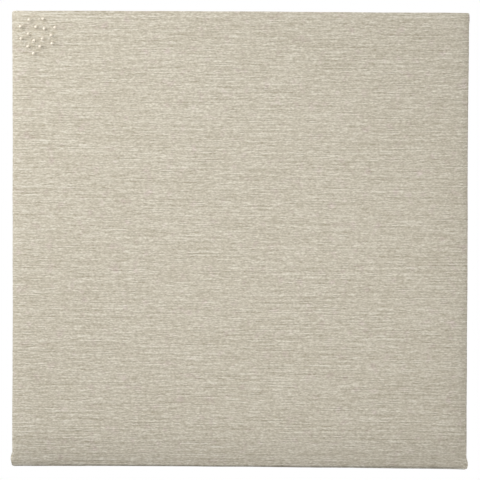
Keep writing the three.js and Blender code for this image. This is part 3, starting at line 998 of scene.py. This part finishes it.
def staple_shape(width, leg_y, crown_y, wire, breadth):
    """A flat wire swept along the staple's path, as vertices in its own frame and faces"""
    path = np.array(staple_path(width - wire, leg_y, crown_y - wire / 2))
    way = np.gradient(path, axis=0)
    way /= np.linalg.norm(way, axis=1)[:, None]
    out = np.stack([way[:, 1], -way[:, 0]], 1)
    soft = staple_edge
    a, b = wire / 2, breadth / 2
    section = [(a, b - soft), (a - soft, b), (soft - a, b), (-a, b - soft),
               (-a, soft - b), (soft - a, -b), (a - soft, -b), (a, soft - b)]
    vertices = [(p[0] + o[0] * h, p[1] + o[1] * h, w) for p, o in zip(path, out) for h, w in section]
    sides = len(section)
    faces = []
    for r in range(len(path) - 1):
        for i in range(sides):
            n = (i + 1) % sides
            faces.append((r * sides + i, (r + 1) * sides + i, (r + 1) * sides + n, r * sides + n))
    faces.append(tuple(range(sides)))
    faces.append(tuple(reversed(range((len(path) - 1) * sides, len(path) * sides))))
    return vertices, faces


def make_staples(material):
    """One row of staples along each side. Those that the frame has stand exactly where it has them."""
    random = np.random.default_rng(weave_seed + 1)
    stride = staples_per_side // frame_staples
    for index, side in enumerate(SIDES):
        low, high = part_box(f"staple_{side}_2")
        level = side not in HANDS
        width = high.x - low.x if level else high.z - low.z
        breadth = high.z - low.z if level else high.x - low.x
        shape, shape_faces = staple_shape(width, low.y, high.y, staple_wire, breadth)
        half = half_width if level else half_height
        pitch = 2 * half / staples_per_side
        turn = Matrix.Rotation(-math.pi / 2 * index, 4, "Y")
        vertices, faces = [], []
        for i in range(staples_per_side):
            along = (i + 0.5) * pitch - half
            exact = i % stride == stride // 2
            spin = 0 if exact else random.uniform(-staple_spin, staple_spin)
            off = 0 if exact else random.uniform(-1, 1) * staple_shift
            place = Matrix.Translation((along + off, 0, half - staple_inset + off / 2))
            matrix = turn @ place @ Matrix.Rotation(math.radians(spin), 4, "Y")
            faces += [tuple(len(vertices) + v for v in face) for face in shape_faces]
            vertices += [matrix @ Vector(v) for v in shape]
        row = add_piece(f"staples_{side}", vertices, faces, material)
        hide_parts(*(f"staple_{side}_{i}" for i in range(1, frame_staples + 1)))


# Hangers

def plate_mesh(material, outlines, thickness, edge):
    """A plate with holes and softened edges, from closed outlines in X and Z about the plate's centre"""
    curve = bpy.data.curves.new("plate_outline", "CURVE")
    curve.dimensions = "2D"
    curve.fill_mode = "BOTH"
    curve.extrude = thickness / 2 - edge
    curve.bevel_depth = edge
    curve.bevel_resolution = 2
    curve.offset = -edge
    for outline in outlines:
        spline = curve.splines.new("POLY")
        spline.points.add(len(outline) - 1)
        spline.points.foreach_set("co", [value for x, z in outline for value in (x, z, 0, 1)])
        spline.use_cyclic_u = True
    pattern = bpy.data.objects.new("plate_pattern", curve)
    mesh = bpy.data.meshes.new_from_object(pattern)
    bpy.data.objects.remove(pattern)
    mesh.transform(Matrix.Translation((0, thickness / 2, 0)) @ Matrix.Rotation(math.pi / 2, 4, "X"))
    work = bmesh.new()
    work.from_mesh(mesh)
    bmesh.ops.remove_doubles(work, verts=work.verts, dist=weld_distance)
    bmesh.ops.recalc_face_normals(work, faces=work.faces)
    work.to_mesh(mesh)
    work.free()
    mesh.shade_smooth()
    mesh.set_sharp_from_angle(angle=math.radians(plate_sharp_angle))
    mesh.materials.clear()
    mesh.materials.append(material)
    return mesh


def rounded_outline(half_x, half_z, radius, steps=8):
    outline = []
    for x, z, start in ((1, 1, 0), (-1, 1, 90), (-1, -1, 180), (1, -1, 270)):
        outline += arc((x * (half_x - radius), z * (half_z - radius)), radius, start, start + 90, steps)
    return outline


def keyhole_outline(entry, slot, length, steps=24):
    """A round entry with a narrower slot that runs up from it"""
    opening = math.degrees(math.asin(slot / entry))
    lower = arc((0, -length / 2), entry, 90 + opening, 450 - opening, steps)
    return [*lower, *arc((0, length / 2), slot, 0, 180, steps // 2)]


def hole_outline(x, radius):
    """A round hole at a place along the plate"""
    return arc((x, 0), radius, 0, 360 - 360 / hole_sides, hole_sides - 1)


def screw_mesh(material, head, tip_y, top_y):
    """A countersunk screw with a cross recess pressed into its head"""
    crown = [(head * crown_share * i / crown_rings, top_y - crown_fall * (i / crown_rings) ** 2)
             for i in range(crown_rings + 1)]
    profile = [*crown, (head, top_y - screw_rim), (screw_shank, top_y - screw_cone),
               (screw_shank, tip_y + screw_point), (0, tip_y)]
    mesh = turned_mesh("plate_screw", profile[::-1], round_sides, material, sharp_angle=35)
    for vertex in mesh.vertices:
        if vertex.co.y > top_y - recess_skin:
            far, near = sorted((abs(vertex.co.x), abs(vertex.co.z)), reverse=True)
            if near < recess_half and far < recess_arm:
                vertex.co.y -= recess_depth * min(1, (recess_arm - far) / recess_slope)
    return mesh


def make_hangers(zinc):
    """Keyhole plates and their screws"""
    for hand in HANDS:
        low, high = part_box(f"hanger_plate_{hand}")
        centre = (low + high) / 2
        outlines = [rounded_outline((high.x - low.x) / 2, (high.z - low.z) / 2, plate_corner),
                    keyhole_outline(keyhole_entry, keyhole_slot, keyhole_length)]
        for number in (1, 2):
            screw_low, screw_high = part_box(f"hanger_screw_{hand}_{number}")
            place = (screw_low + screw_high) / 2
            outlines.append(hole_outline(place.x - centre.x, screw_hole))
            mesh = screw_mesh(zinc, (screw_high.x - screw_low.x) / 2, screw_low.y, screw_high.y)
            screw = add_object(f"cross_screw_{hand}_{number}", mesh,
                               place=(place.x, 0, place.z))
            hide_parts(f"hanger_screw_{hand}_{number}")
        mesh = plate_mesh(zinc, outlines, high.y - low.y, plate_edge)
        plate = add_object(f"keyhole_plate_{hand}", mesh, place=(centre.x, low.y, centre.z))
        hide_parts(f"hanger_plate_{hand}")


def bumper_profile(radius, height):
    """A short wall under a dome"""
    flat, start, rise = dome_shares
    angles = [math.radians(a) for a in range(0, 90 + dome_step, dome_step)]
    dome = [(flat + (1 - flat) * math.cos(a), start + rise * math.sin(a)) for a in angles]
    shares = [(0, 0), (1, 0), (1, wall_share), *dome, dome_top_shares, (0, 1)]
    return [(radius * across, height * up) for across, up in shares]


def make_bumpers(rubber):
    """Domed stick-on bumpers"""
    for hand in HANDS:
        low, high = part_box(f"wall_bumper_{hand}")
        centre = (low + high) / 2
        profile = bumper_profile((high.x - low.x) / 2, high.y - low.y)
        mesh = turned_mesh("bumper", profile, round_sides, rubber, sharp_angle=60)
        bumper = add_object(f"rubber_bumper_{hand}", mesh, place=(centre.x, low.y, centre.z))
        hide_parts(f"wall_bumper_{hand}")


# Frame nodes that keep their shapes

def dress(node_name, material):
    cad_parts[node_name].material_slots[0].material = material


# Stage

def make_camera():
    data = bpy.data.cameras.new("camera")
    data.lens = lens
    data.sensor_width = sensor
    camera = link_object("camera", data)
    turns = ((camera_roll, "Y"), (camera_pitch, "X"), (camera_yaw, "Z"), (90, "X"))
    matrix = Matrix.Translation(camera_place)
    for degrees, axis in turns:
        matrix = matrix @ Matrix.Rotation(math.radians(degrees), 4, axis)
    camera.matrix_world = matrix
    bpy.context.scene.camera = camera


def make_lamp(place, size, power, in_gloss):
    """A square lamp that faces the board's middle"""
    data = bpy.data.lights.new("lamp", "AREA")
    data.shape = "SQUARE"
    data.size = size
    data.energy = power
    lamp = link_object("lamp", data)
    lamp.location = place
    lamp.rotation_euler = Vector(place).to_track_quat("Z", "Y").to_euler()
    lamp.visible_camera = False
    lamp.visible_glossy = in_gloss


def make_sky():
    """Even light, and plain white where the camera, gloss or glass sees it"""
    world = bpy.data.worlds.new("studio")
    bpy.context.scene.world = world
    world.use_nodes = True
    tree = world.node_tree
    background = tree.nodes["Background"]
    strength = math_node(tree, "MULTIPLY_ADD", seen_directly(tree), 1 - sky_strength, sky_strength)
    background.inputs["Color"].default_value = (1, 1, 1, 1)
    feed(tree, background.inputs["Strength"], strength)


def make_floor():
    """A pale floor that throws less light back up than it shows"""
    around = ((-1, -1), (1, -1), (1, 1), (-1, 1))
    corners = [(x * floor_half, y * floor_half, -floor_drop) for x, y in around]
    mesh = bpy.data.meshes.new("floor")
    mesh.from_pydata(corners, [], [(0, 1, 2, 3)])
    material, tree, shader = new_material("pale_floor")
    low, high = floor_shades
    clouds = noise(tree, object_place(tree), scale=3)
    pale = ramp(tree, clouds, (0.3, (low, low, low)), (0.7, (high, high, high)))
    colour = mixed(tree, seen_directly(tree), (floor_grey, floor_grey, floor_grey, 1), pale)
    paint(tree, shader, colour)
    shader.inputs["Roughness"].default_value = 0.9
    shader.inputs["Emission Color"].default_value = (1, 1, 1, 1)
    glow = math_node(tree, "MULTIPLY", seen_directly(tree), floor_glow)
    feed(tree, shader.inputs["Emission Strength"], glow)
    mesh.materials.append(material)
    link_object("floor", mesh)


make_camera()
for lamp in lamps:
    make_lamp(*lamp)
make_sky()
make_floor()

make_padding(make_fleece())
make_cover(make_cloth())
make_pins(make_pin_plastic(), make_metal("bright_steel", (208, 209, 212), 0.25, 900, (1, 0.1, 1)))
make_staples(make_metal("staple_wire", (196, 196, 192), 0.34, 700))
make_hangers(make_metal("zinc", (188, 191, 196), 0.38, 260))
make_bumpers(make_rubber())
dress("core_board", make_softboard())
dress("back_panel", make_hardboard())
level_pine, upright_pine = make_pine("pine_level", 0), make_pine("pine_upright", 2)
for side in SIDES:
    dress(f"frame_rail_{side}", upright_pine if side in HANDS else level_pine)

bpy.context.scene.view_settings.view_transform = "Standard"
